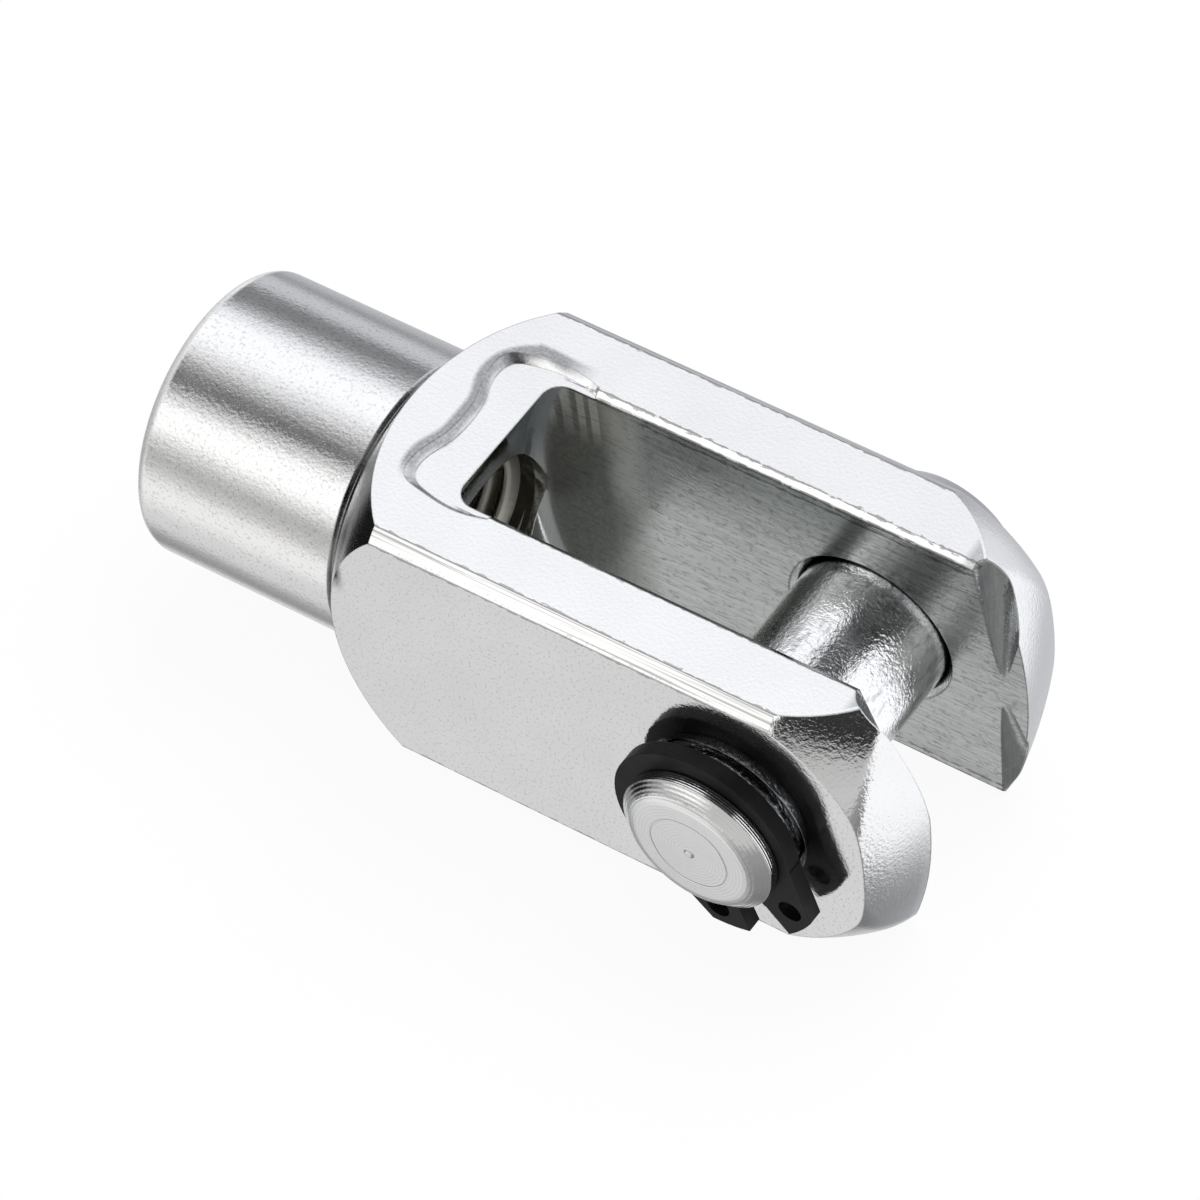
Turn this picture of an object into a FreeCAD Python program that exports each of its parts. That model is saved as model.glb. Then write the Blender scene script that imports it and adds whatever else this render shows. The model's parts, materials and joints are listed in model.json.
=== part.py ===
import FreeCAD, Part
import math
import os
from FreeCAD import Vector

os.makedirs("parts", exist_ok=True)

# Lengths are in millimetres.
# X runs from the threaded neck end to the fork tip, Y along the pin, Z up out of the slot.
# The origin is the centre of the neck's end face.

# Main sizes of the fork
bar_side = 20.0
bar_edge_chamfer = 0.8
neck_diameter = 18.0
neck_length = 14.45
neck_edge_round = 0.9
neck_groove_width = 0.45
neck_groove_depth = 0.22
neck_groove_lip = 0.15
transition_length = 4.3
transition_bulge = 0.25
thread_diameter = 10.0
pin_axis_x = 42.0
pin_bore_diameter = 10.0
bore_inner_chamfer = 0.55
bore_outer_chamfer = 0.45

# The slot, left by a round side cutter
slot_width = 10.2
slot_bottom_x = 19.0
cutter_radius = 22.0
cutter_corner_round = 1.2
slot_edge_chamfer = 0.4

# The turned tip: a ball about the pin axis with a flatter dome in front
tip_ball_margin = 0.462
tip_front_x = 53.0
tip_front_radius = 30.0
tip_shoulder_round = 2.2

# Conical scoops that break the inner edge at the ears' tips
scoop_sink = 0.5
scoop_end_radius = 2.05
scoop_far_x = 51.0
scoop_far_start_z = 1.1
scoop_lean_above = 0.03
scoop_lean_below = 0.16
scoop_near_x = 52.4
scoop_near_start_z = 0.4
scoop_near_lean = -0.2

# The sunken step round the slot's bottom, on the upper face
step_depth = 0.45
step_ramp = 0.5
step_back_x = 18.6
step_lobe_x = 18.1
step_side_y = 5.75
step_lobe_y = 3.7

# The pin, its head and its groove
pin_clearance = 0.06
head_diameter = 11.5
head_thickness = 3.4
head_chamfer = 1.15
head_gap = 0.1
groove_diameter = 9.4
groove_play = 0.1
collar_length = 0.7
end_chamfer_length = 0.65
end_chamfer_depth = 0.85
end_crown_length = 0.15
end_crown_depth = 0.6
centre_nub_radius = 0.35
centre_nub_height = 0.1

# The retaining ring
ring_thickness = 1.0
ring_gap = 1.0
ring_seat_clearance = 0.03
ring_outer_radius = 5.85
ring_offset = 0.3
ring_open_angle = -59.5
lug_reach = 7.75
lug_end_angle = 12.0
lug_tip_angle = 31.0
lug_foot_angle = 62.0
lug_foot_reach = 5.75
lug_hole_angle = 27.0
lug_hole_radius = 0.75
lug_hole_reach = 6.45

# Sizes that follow from the ones above
half_side = bar_side / 2
neck_radius = neck_diameter / 2
thread_radius = thread_diameter / 2
bore_radius = pin_bore_diameter / 2
half_slot = slot_width / 2
corner_radius = math.hypot(half_side, half_side - bar_edge_chamfer)
tip_ball_radius = corner_radius + tip_ball_margin
tip_front_centre_x = tip_front_x - tip_front_radius
cutter_x = slot_bottom_x + cutter_radius
pin_radius = bore_radius - pin_clearance
head_radius = head_diameter / 2
head_seat_y = half_side + head_gap
ring_back_y = -half_side - ring_gap
ring_front_y = ring_back_y - ring_thickness
groove_radius = groove_diameter / 2
ring_inner_radius = groove_radius + ring_seat_clearance
pin_end_y = ring_front_y - groove_play / 2 - collar_length - end_chamfer_length - end_crown_length

X_AXIS = Vector(1, 0, 0)
Y_AXIS = Vector(0, 1, 0)


def line(a, b):
    return Part.makeLine(a, b)


def arc(a, middle, b):
    return Part.Arc(a, middle, b).toShape()


def turned_about_x(edges):
    face = Part.Face(Part.Wire(edges))
    return face.revolve(Vector(0, 0, 0), X_AXIS, 360)


def prism(points, direction):
    return Part.Face(Part.makePolygon(points + [points[0]])).extrude(direction)


def cone_about_y(radius_a, y_a, radius_b, y_b, x=0.0):
    profile = [
        Vector(x, y_a, 0),
        Vector(x + radius_a, y_a, 0),
        Vector(x + radius_b, y_b, 0),
        Vector(x, y_b, 0),
    ]
    face = Part.Face(Part.makePolygon(profile + [profile[0]]))
    return face.revolve(Vector(x, 0, 0), Y_AXIS, 360)


# An arc in the XY plane with its centre on the X axis
def arc_about(centre_x, radius, x_a, x_b):
    def at(x):
        return Vector(x, math.sqrt(max(radius ** 2 - (x - centre_x) ** 2, 0)), 0)

    return arc(at(x_a), at((x_a + x_b) / 2), at(x_b))


# Where the ball of the tip meets the flatter front dome
def shoulder_point():
    a = pin_axis_x
    b = tip_front_centre_x
    x = (tip_front_radius ** 2 - tip_ball_radius ** 2 + a ** 2 - b ** 2) / (2 * (a - b))
    return x, math.sqrt(tip_ball_radius ** 2 - (x - a) ** 2)


# The round form that the lathe leaves: neck, groove, full shoulder, straight part, ball, front dome
def turned_envelope():
    r = neck_radius
    e = neck_edge_round
    groove_start = neck_length - neck_groove_width
    cone_start_r = r + neck_groove_lip
    cone_end_x = neck_length + transition_length
    k = e * (1 - math.sqrt(0.5))
    mid_x = (neck_length + cone_end_x) / 2 - transition_bulge
    mid_r = (cone_start_r + corner_radius) / 2 + transition_bulge
    edges = [
        line(Vector(0, 0, 0), Vector(0, r - e, 0)),
        arc(Vector(0, r - e, 0), Vector(k, r - k, 0), Vector(e, r, 0)),
        line(Vector(e, r, 0), Vector(groove_start, r, 0)),
    ]
    groove_bottom = Vector((groove_start + neck_length) / 2, r - neck_groove_depth, 0)
    edges.append(line(Vector(groove_start, r, 0), groove_bottom))
    edges.append(line(groove_bottom, Vector(neck_length, cone_start_r, 0)))
    cone_end = Vector(cone_end_x, corner_radius, 0)
    edges.append(arc(Vector(neck_length, cone_start_r, 0), Vector(mid_x, mid_r, 0), cone_end))
    dome_start_x = pin_axis_x + math.sqrt(tip_ball_radius ** 2 - corner_radius ** 2)
    edges.append(line(cone_end, Vector(dome_start_x, corner_radius, 0)))
    shoulder_x, shoulder_r = shoulder_point()
    edges.append(arc_about(pin_axis_x, tip_ball_radius, dome_start_x, shoulder_x))
    edges.append(arc_about(tip_front_centre_x, tip_front_radius, shoulder_x, tip_front_x))
    edges.append(line(Vector(tip_front_x, 0, 0), Vector(0, 0, 0)))
    body = turned_about_x(edges)
    rims = []
    for edge in body.Edges:
        box = edge.BoundBox
        if box.XLength < 0.001 and abs(box.Center.x - shoulder_x) < 0.001:
            rims.append(edge)
    return body.makeFillet(tip_shoulder_round, rims)


# The square bar with broken long edges; the neck side of it stays free for the round form
def square_bar():
    a = half_side
    c = bar_edge_chamfer
    outline = [
        (-a, -a + c), (-a + c, -a), (a - c, -a), (a, -a + c),
        (a, a - c), (a - c, a), (-a + c, a), (-a, a - c),
    ]
    points = [Vector(-1, y, z) for y, z in outline]
    return prism(points, Vector(tip_front_x + 2, 0, 0))


def slot_cutter():
    wheel = Part.makeCylinder(
        cutter_radius, slot_width, Vector(cutter_x, -half_slot, 0), Y_AXIS)
    rims = [e for e in wheel.Edges if isinstance(e.Curve, Part.Circle)]
    wheel = wheel.makeFillet(cutter_corner_round, rims)
    path = Part.makeBox(
        tip_front_x, slot_width, 2 * cutter_radius, Vector(cutter_x, -half_slot, -cutter_radius))
    return wheel.fuse(path)


# Wedges that break the slot's long edges on the upper and lower faces
def slot_edge_wedges():
    wedges = []
    over = 0.3
    start_x = slot_bottom_x + 3.0
    for up in (1, -1):
        low_z = up * (half_side - slot_edge_chamfer)
        high_z = up * (half_side + over)
        wide = half_slot + slot_edge_chamfer + over
        points = [
            Vector(start_x, -half_slot, low_z),
            Vector(start_x, half_slot, low_z),
            Vector(start_x, wide, high_z),
            Vector(start_x, -wide, high_z),
        ]
        wedges.append(prism(points, Vector(tip_front_x, 0, 0)))
    return wedges


# One closed outline of the sunken step, grown outwards by a given amount
def step_outline(grow, z):
    back = step_back_x - grow
    lobe = step_lobe_x - grow
    side = step_side_y + grow
    points = [
        Vector(slot_bottom_x + 5.0, half_slot + 0.15 + grow, z),
        Vector(slot_bottom_x + 2.2, side - 0.1, z),
        Vector(slot_bottom_x + 0.6, side - 0.35, z),
        Vector(lobe + 0.25, step_lobe_y + 1.1 + grow, z),
        Vector(lobe, step_lobe_y, z),
        Vector(back + 0.05, step_lobe_y - 2.0, z),
        Vector(back + 0.25, 0, z),
    ]
    mirrored = [Vector(p.x, -p.y, p.z) for p in reversed(points[:-1])]
    curve = Part.BSplineCurve()
    curve.interpolate(points + mirrored)
    edge = curve.toShape()
    closing = line(mirrored[-1], points[0])
    return Part.Wire([edge, closing])


def sunken_step():
    low = step_outline(0.0, half_side - step_depth)
    high = step_outline(step_ramp, half_side + step_depth * 0.25)
    return Part.makeLoft([low, high], True)


def tip_scoop(side, up, start_x, start_z, lean):
    reach = half_side - start_z
    slope = (scoop_end_radius - scoop_sink) / reach
    run_in = scoop_sink / slope
    along = Vector(lean, 0, up)
    tip = Vector(start_x, side * (half_slot - scoop_sink), up * start_z) - along * run_in
    length = reach + 1.0 + run_in
    return Part.makeCone(0, slope * length, length, tip, along)


# The far ear is broken above and below, the near ear above only
def tip_scoops():
    return [
        tip_scoop(1, 1, scoop_far_x, scoop_far_start_z, scoop_lean_above),
        tip_scoop(1, -1, scoop_far_x, scoop_far_start_z, scoop_lean_below),
        tip_scoop(-1, 1, scoop_near_x, scoop_near_start_z, scoop_near_lean),
    ]


# A smooth bore at the thread's outer diameter
def threaded_bore():
    deep = slot_bottom_x + 4.0
    return Part.makeCylinder(thread_radius, deep + 1.0, Vector(-1, 0, 0), X_AXIS)


def pin_bores():
    r = bore_radius
    c = bore_inner_chamfer
    d = bore_outer_chamfer
    x = pin_axis_x
    over = 0.5
    through = Part.makeCylinder(r, bar_side + 2, Vector(x, -half_side - 1, 0), Y_AXIS)
    cuts = [through]
    for side in (1, -1):
        inner = side * (half_slot - over)
        cuts.append(cone_about_y(r + c + over, inner, r, side * (half_slot + c), x))
    cuts.append(cone_about_y(r + d + over, -half_side - over, r, -half_side + d, x))
    e = d * 0.4
    cuts.append(cone_about_y(r + e + over, half_side + over, r, half_side - e, x))
    return cuts


def make_fork():
    fork = turned_envelope().common(square_bar())
    fork = fork.cut(slot_cutter())
    fork = fork.cut(threaded_bore())
    for tool in pin_bores() + slot_edge_wedges() + [sunken_step()] + tip_scoops():
        fork = fork.cut(tool)
    return fork


# The pin: chamfered head, shank, ring groove, collar and bevelled end with the parting nub
def make_pin():
    x = pin_axis_x
    groove_back = ring_back_y + groove_play / 2
    groove_front = ring_front_y - groove_play / 2
    collar_end = groove_front - collar_length
    chamfer_end = collar_end - end_chamfer_length
    crown_r = pin_radius - end_chamfer_depth
    flat_r = crown_r - end_crown_depth
    head_top = head_seat_y + head_thickness
    outline = [
        (0, head_top),
        (head_radius - head_chamfer, head_top),
        (head_radius, head_top - head_chamfer),
        (head_radius, head_seat_y),
        (pin_radius, head_seat_y),
        (pin_radius, groove_back),
        (groove_radius, groove_back),
        (groove_radius, groove_front),
        (pin_radius, groove_front),
        (pin_radius, collar_end),
        (crown_r, chamfer_end),
        (flat_r, pin_end_y),
        (centre_nub_radius, pin_end_y),
        (centre_nub_radius * 0.6, pin_end_y - centre_nub_height),
        (0, pin_end_y - centre_nub_height),
    ]
    points = [Vector(x + r, y, 0) for r, y in outline]
    face = Part.Face(Part.makePolygon(points + [points[0]]))
    return face.revolve(Vector(x, 0, 0), Y_AXIS, 360)


def ring_point(reach, angle):
    a = math.radians(ring_open_angle + angle)
    return Vector(pin_axis_x + reach * math.cos(a), ring_front_y, reach * math.sin(a))


# One lug of the ring with its tool hole; the side is +1 or -1 from the opening
def ring_lug(side):
    inner = ring_inner_radius + 0.1
    tip = lug_reach
    edges = [
        line(ring_point(inner, side * lug_end_angle), ring_point(tip, side * lug_end_angle)),
        arc(ring_point(tip, side * lug_end_angle),
            ring_point(tip, side * (lug_end_angle + lug_tip_angle) / 2),
            ring_point(tip, side * lug_tip_angle)),
        line(ring_point(tip, side * lug_tip_angle), ring_point(lug_foot_reach, side * lug_foot_angle)),
        line(ring_point(lug_foot_reach, side * lug_foot_angle), ring_point(inner, side * lug_foot_angle)),
        line(ring_point(inner, side * lug_foot_angle), ring_point(inner, side * lug_end_angle)),
    ]
    return Part.Face(Part.Wire(edges)).extrude(Vector(0, ring_thickness, 0))


def make_ring():
    start = Vector(0, -0.5, 0)
    long = ring_thickness + 1.0
    back = ring_point(-ring_offset, 0)
    body = Part.makeCylinder(ring_outer_radius, ring_thickness, back, Y_AXIS)
    for side in (1, -1):
        body = body.fuse(ring_lug(side))
    eye = ring_point(0, 0)
    body = body.cut(Part.makeCylinder(ring_inner_radius, long, eye + start, Y_AXIS))
    gap = [
        ring_point(0.5, 0),
        ring_point(12, -lug_end_angle),
        ring_point(12, lug_end_angle),
    ]
    gap = [p + start for p in gap]
    body = body.cut(prism(gap, Vector(0, long, 0)))
    for side in (1, -1):
        hole = ring_point(lug_hole_reach, side * lug_hole_angle) + start
        body = body.cut(Part.makeCylinder(lug_hole_radius, long, hole, Y_AXIS))
    return body.removeSplitter()


def export(shape, name):
    solids = shape.Solids
    if len(solids) == 1:
        shape = solids[0]
    print(name, "solids", len(solids), "valid", shape.isValid(), "volume", round(shape.Volume, 1))
    shape.exportStep("parts/" + name + ".step")


export(make_fork(), "fork")
export(make_pin(), "clevis_pin")
export(make_ring(), "circlip")
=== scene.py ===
# %% [markdown]
# A clevis is the fork at the end of a tension rod. This one is turned and milled from square
# bar and plated with bright zinc. A headed pin crosses its slot, and a black spring ring
# keeps the pin in. The solids arrive as a fixed frame, so this file adds only what they
# leave out: the thread in the neck, the finishes, the light and the camera.

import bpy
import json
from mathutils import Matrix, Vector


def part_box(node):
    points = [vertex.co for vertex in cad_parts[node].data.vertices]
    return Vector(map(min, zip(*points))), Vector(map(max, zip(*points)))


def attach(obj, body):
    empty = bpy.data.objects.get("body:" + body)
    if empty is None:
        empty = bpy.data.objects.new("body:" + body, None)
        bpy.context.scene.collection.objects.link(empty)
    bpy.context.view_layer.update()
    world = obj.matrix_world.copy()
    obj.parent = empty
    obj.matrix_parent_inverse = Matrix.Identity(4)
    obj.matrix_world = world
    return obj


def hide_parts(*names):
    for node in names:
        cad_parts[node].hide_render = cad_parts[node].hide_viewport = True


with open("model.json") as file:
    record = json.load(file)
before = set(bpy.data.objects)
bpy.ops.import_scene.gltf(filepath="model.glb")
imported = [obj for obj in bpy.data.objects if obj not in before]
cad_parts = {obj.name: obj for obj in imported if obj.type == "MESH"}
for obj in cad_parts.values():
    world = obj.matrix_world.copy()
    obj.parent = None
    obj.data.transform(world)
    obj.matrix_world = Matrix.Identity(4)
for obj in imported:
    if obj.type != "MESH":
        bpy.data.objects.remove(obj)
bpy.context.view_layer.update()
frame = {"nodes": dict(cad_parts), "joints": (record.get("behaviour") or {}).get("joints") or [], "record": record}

# %% [markdown]
# Every length below is in metres, so a small helper turns the millimetres of a workshop
# drawing into metres. The few sizes that the scene shares with the solids are named once,
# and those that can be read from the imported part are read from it.

# %% Units and shared sizes
import json
import math

import bmesh
import bpy
from mathutils import Matrix, Vector


def mm(value):
    return value / 1000.0


fork_low, fork_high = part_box("fork")
pin_low, pin_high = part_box("clevis_pin")
thread_mount = next(m for m in frame["record"]["mounts"] if m["name"] == "rod_thread")
pin_joint = next(j for j in frame["joints"] if j["name"] == "pin_spin")

BENCH_Z = fork_low.z
PIN_X = pin_joint["pos_m"][0]
THREAD_ROOT = mm(thread_mount["dims"]["r_mm"])
SLOT_HALF = mm(5.1)
SLOT_END_X = mm(19.0)
for name, low, high in (("fork", fork_low, fork_high), ("pin", pin_low, pin_high)):
    print(name, "from", tuple(round(v, 4) for v in low), "to", tuple(round(v, 4) for v in high))

# %% [markdown]
# Polished metal shows every flat triangle of its mesh as a facet. The imported solids are
# loose triangles, so each one is copied, its corners are joined, and the copy is shaded
# smooth except at real edges. Weighted normals then keep the large flat faces truly flat
# beside their rounds. The copy stands for the solid, which is hidden but kept.

# %% Smooth copies of the three solids
JOIN_DISTANCE = mm(0.001)
EDGE_ANGLE = math.radians(24)


def smooth_copy(node, name, body):
    mesh = frame["nodes"][node].data.copy()
    mesh.name = name
    work = bmesh.new()
    work.from_mesh(mesh)
    bmesh.ops.remove_doubles(work, verts=work.verts, dist=JOIN_DISTANCE)
    for face in work.faces:
        face.smooth = True
    for edge in work.edges:
        edge.smooth = edge.is_manifold and edge.calc_face_angle(math.pi) < EDGE_ANGLE
    work.to_mesh(mesh)
    work.free()
    mesh.materials.clear()
    piece = bpy.data.objects.new(name, mesh)
    bpy.context.scene.collection.objects.link(piece)
    weighted = piece.modifiers.new("keep_flats_flat", "WEIGHTED_NORMAL")
    weighted.keep_sharp = True
    weighted.weight = 80
    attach(piece, body)
    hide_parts(node)
    print(name, "has", len(mesh.polygons), "faces")
    return piece


fork = smooth_copy("fork", "forged_fork", "fork")
pin = smooth_copy("clevis_pin", "headed_pin", "pin")
ring = smooth_copy("circlip", "spring_ring", "ring")

# %% [markdown]
# The thread and all the finishes below are node trees. A few words keep their wiring easy
# to read. One makes a tree with named inputs. The class adds nodes, feeds an input with a
# socket or with a plain value, and does sums.

# %% Words for building node trees
def tree_with_inputs(name, inputs):
    tree = bpy.data.node_groups.new(name, "GeometryNodeTree")
    tree.interface.new_socket("Geometry", in_out="OUTPUT", socket_type="NodeSocketGeometry")
    for label, kind, value in inputs:
        socket = tree.interface.new_socket(label, in_out="INPUT", socket_type=kind)
        if value is not None:
            socket.default_value = value
    return tree


class Wiring:
    """Short words for adding and joining the nodes of one tree."""

    def __init__(self, tree):
        self.tree = tree

    def add(self, kind, **settings):
        node = self.tree.nodes.new(kind)
        for key, value in settings.items():
            setattr(node, key, value)
        return node

    def feed(self, source, socket):
        if isinstance(source, bpy.types.NodeSocket):
            self.tree.links.new(source, socket)
        else:
            socket.default_value = source

    def math(self, operation, a, b=0.0, c=0.0, clamp=False):
        node = self.add("ShaderNodeMath", operation=operation, use_clamp=clamp)
        self.feed(a, node.inputs[0])
        self.feed(b, node.inputs[1])
        self.feed(c, node.inputs[2])
        return node.outputs[0]


# %% [markdown]
# The neck is tapped for the rod, and the thread shows in the bore's mouth at the slot's
# end. A thread is one ridge wound along a helix, which is a rule, so Geometry Nodes make
# it. A grid is the raw material: its length becomes the way along the helix and its width
# becomes the walk round the ridge's section, whose corners are shares of the pitch and of
# the depth. The ridge fades out at both ends, as a cut thread does, and that also closes
# the mesh.

# %% The thread's sizes and its ridge
THREAD_PITCH = mm(1.25)
THREAD_DEPTH = mm(0.72)
THREAD_SINK = mm(0.03)
THREAD_START_X = mm(1.0)
STEPS_PER_TURN = 56
RIDGE_CORNERS = [(-0.47, 0), (-0.07, 1), (0.07, 1), (0.47, 0), (-0.47, 0)]


def ridge_section(w, given, corner):
    """How far a corner of the ridge's section stands along the bore, and how far in from its wall."""
    sideways = w.add("GeometryNodeIndexSwitch", data_type="FLOAT")
    inward = w.add("GeometryNodeIndexSwitch", data_type="FLOAT")
    for switch in (sideways, inward):
        while len(switch.index_switch_items) < len(RIDGE_CORNERS):
            switch.index_switch_items.new()
        w.feed(corner, switch.inputs[0])
    for number, (side, deep) in enumerate(RIDGE_CORNERS):
        w.feed(w.math("MULTIPLY", given["Pitch"], side), sideways.inputs[number + 1])
        w.feed(float(deep), inward.inputs[number + 1])
    return sideways.outputs[0], inward.outputs[0]


def end_fade(w, along, turns):
    """1 along the thread, falling to 0 over its first half turn and its last quarter turn."""
    fade_in = w.math("MULTIPLY", w.math("MULTIPLY", along, turns), 2.0, clamp=True)
    left = w.math("MULTIPLY", w.math("SUBTRACT", 1.0, along), turns)
    fade_out = w.math("MULTIPLY", left, 4.0, clamp=True)
    return w.math("MULTIPLY", fade_in, fade_out)


def strip_of_steps(w, given, turns):
    """A flat grid, with one column for each step and one row for each corner of the section."""
    grid = w.add("GeometryNodeMeshGrid")
    w.feed(1.0, grid.inputs["Size X"])
    w.feed(1.0, grid.inputs["Size Y"])
    w.feed(w.math("MULTIPLY", turns, given["Steps Per Turn"]), grid.inputs["Vertices X"])
    w.feed(len(RIDGE_CORNERS), grid.inputs["Vertices Y"])
    return grid.outputs["Mesh"]


print("thread with pitch", THREAD_PITCH, "m and root radius", THREAD_ROOT, "m")

# %% The thread as a rule
def build_thread_tree():
    tree = tree_with_inputs("helical_thread", [
        ("Start X", "NodeSocketFloat", THREAD_START_X),
        ("Length", "NodeSocketFloat", SLOT_END_X),
        ("Pitch", "NodeSocketFloat", THREAD_PITCH),
        ("Root Radius", "NodeSocketFloat", THREAD_ROOT),
        ("Depth", "NodeSocketFloat", THREAD_DEPTH),
        ("Steps Per Turn", "NodeSocketInt", STEPS_PER_TURN),
        ("Material", "NodeSocketMaterial", None),
    ])
    w = Wiring(tree)
    given = w.add("NodeGroupInput").outputs
    turns = w.math("DIVIDE", given["Length"], given["Pitch"])
    place = w.add("ShaderNodeSeparateXYZ")
    w.feed(w.add("GeometryNodeInputPosition").outputs[0], place.inputs[0])
    along = w.math("ADD", place.outputs["X"], 0.5)
    across = w.math("ADD", place.outputs["Y"], 0.5)
    corner = w.math("ROUND", w.math("MULTIPLY", across, float(len(RIDGE_CORNERS) - 1)))
    sideways, inward = ridge_section(w, given, corner)
    fade = end_fade(w, along, turns)
    angle = w.math("MULTIPLY", w.math("MULTIPLY", along, turns), 2 * math.pi)
    rise = w.math("MULTIPLY", w.math("MULTIPLY", inward, given["Depth"]), fade)
    radius = w.math("SUBTRACT", w.math("ADD", given["Root Radius"], THREAD_SINK), rise)
    x_mid = w.math("ADD", given["Start X"], w.math("MULTIPLY", along, given["Length"]))
    point = w.add("ShaderNodeCombineXYZ")
    w.feed(w.math("ADD", x_mid, w.math("MULTIPLY", sideways, fade)), point.inputs["X"])
    w.feed(w.math("MULTIPLY", radius, w.math("COSINE", angle)), point.inputs["Y"])
    w.feed(w.math("MULTIPLY", radius, w.math("SINE", angle)), point.inputs["Z"])
    wound = w.add("GeometryNodeSetPosition")
    w.feed(strip_of_steps(w, given, turns), wound.inputs["Geometry"])
    w.feed(point.outputs[0], wound.inputs["Position"])
    joined = w.add("GeometryNodeMergeByDistance")
    w.feed(wound.outputs[0], joined.inputs["Geometry"])
    w.feed(mm(0.002), joined.inputs["Distance"])
    real = w.add("GeometryNodeRealizeInstances")
    w.feed(joined.outputs[0], real.inputs[0])
    coated = w.add("GeometryNodeSetMaterial")
    w.feed(real.outputs[0], coated.inputs["Geometry"])
    w.feed(given["Material"], coated.inputs["Material"])
    w.feed(coated.outputs[0], w.add("NodeGroupOutput").inputs[0])
    return tree


# %% A mesh made by a tree
def made_by(tree, name, values):
    host = bpy.data.objects.new(name + "_host", bpy.data.meshes.new(name + "_seed"))
    bpy.context.scene.collection.objects.link(host)
    modifier = host.modifiers.new(name, "NODES")
    modifier.node_group = tree
    for item in tree.interface.items_tree:
        if item.in_out == "INPUT" and item.name in values:
            modifier[item.identifier] = values[item.name]
    graph = bpy.context.evaluated_depsgraph_get()
    mesh = bpy.data.meshes.new_from_object(host.evaluated_get(graph), depsgraph=graph)
    mesh.name = name
    bpy.data.objects.remove(host)
    piece = bpy.data.objects.new(name, mesh)
    bpy.context.scene.collection.objects.link(piece)
    return piece


# %% [markdown]
# All the bright parts share one effect: the plating is glossy but not flat. It has a fine
# orange-peel skin and small dark pits. One shader node group gives the skin as a height,
# the pits as a mask and the slow change of gloss as a cloud. Each material mixes the three
# in its own way.

# %% The plated skin, shared by every bright part
def build_skin_group():
    tree = bpy.data.node_groups.new("plated_skin", "ShaderNodeTree")
    for label, value in (("Grain Per Metre", 6500.0), ("Pits Per Metre", 2600.0), ("Pit Share", 0.1)):
        socket = tree.interface.new_socket(label, in_out="INPUT", socket_type="NodeSocketFloat")
        socket.default_value = value
    for label in ("Height", "Pits", "Cloud"):
        tree.interface.new_socket(label, in_out="OUTPUT", socket_type="NodeSocketFloat")
    w = Wiring(tree)
    given = w.add("NodeGroupInput").outputs
    spot = w.add("ShaderNodeTexCoord").outputs["Object"]
    peel = w.add("ShaderNodeTexNoise", noise_dimensions="3D")
    w.feed(spot, peel.inputs["Vector"])
    w.feed(given["Grain Per Metre"], peel.inputs["Scale"])
    w.feed(2.0, peel.inputs["Detail"])
    w.feed(0.6, peel.inputs["Roughness"])
    cells = w.add("ShaderNodeTexVoronoi", feature="F1")
    w.feed(spot, cells.inputs["Vector"])
    w.feed(given["Pits Per Metre"], cells.inputs["Scale"])
    lot = w.add("ShaderNodeSeparateColor")
    w.feed(cells.outputs["Color"], lot.inputs[0])
    chosen = w.math("LESS_THAN", lot.outputs[0], given["Pit Share"])
    near = w.math("SUBTRACT", 1.0, w.math("MULTIPLY", cells.outputs["Distance"], 5.0), clamp=True)
    pits = w.math("MULTIPLY", near, w.math("MULTIPLY", chosen, lot.outputs[1]))
    cloud = w.add("ShaderNodeTexNoise", noise_dimensions="3D")
    w.feed(spot, cloud.inputs["Vector"])
    w.feed(260.0, cloud.inputs["Scale"])
    w.feed(2.0, cloud.inputs["Detail"])
    out = w.add("NodeGroupOutput")
    w.feed(peel.outputs[0], out.inputs["Height"])
    w.feed(pits, out.inputs["Pits"])
    w.feed(cloud.outputs[0], out.inputs["Cloud"])
    return tree


skin_group = build_skin_group()
print("skin group has", len(skin_group.nodes), "nodes")

# %% [markdown]
# A metal in the Principled shader takes its brightness from the base colour and from what
# it mirrors. The first helper below starts a material with those constants set on the
# shader's own sockets, and returns the wiring so that each finish can add what makes it
# different. The others add the plated skin, a bump, a mix of two colours and a noise.

# %% Helpers for new finishes
def new_finish(name, colour, roughness, metallic=1.0):
    material = bpy.data.materials.new(name)
    material.use_nodes = True
    nodes = material.node_tree.nodes
    shader = nodes["Principled BSDF"]
    shader.inputs["Base Color"].default_value = (*colour, 1.0)
    shader.inputs["Roughness"].default_value = roughness
    shader.inputs["Metallic"].default_value = metallic
    return material, Wiring(material.node_tree), shader


def add_skin(w, grain, pits_per_metre, pit_share):
    skin = w.add("ShaderNodeGroup", node_tree=skin_group)
    skin.inputs["Grain Per Metre"].default_value = grain
    skin.inputs["Pits Per Metre"].default_value = pits_per_metre
    skin.inputs["Pit Share"].default_value = pit_share
    return skin.outputs


def add_bump(w, shader, height, distance, edge_round=0.0):
    bump = w.add("ShaderNodeBump")
    bump.inputs["Distance"].default_value = distance
    w.feed(height, bump.inputs["Height"])
    if edge_round > 0:
        rounded = w.add("ShaderNodeBevel", samples=6)
        rounded.inputs["Radius"].default_value = edge_round
        w.feed(rounded.outputs[0], bump.inputs["Normal"])
    w.feed(bump.outputs[0], shader.inputs["Normal"])


def mix_colour(w, share, first, second):
    mix = w.add("ShaderNodeMix", data_type="RGBA")
    w.feed(share, mix.inputs[0])
    for value, socket in ((first, mix.inputs[6]), (second, mix.inputs[7])):
        w.feed(value if isinstance(value, bpy.types.NodeSocket) else (*value, 1.0), socket)
    return mix.outputs[2]


def object_place(w):
    place = w.add("ShaderNodeSeparateXYZ")
    w.feed(w.add("ShaderNodeTexCoord").outputs["Object"], place.inputs[0])
    return place.outputs


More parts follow.
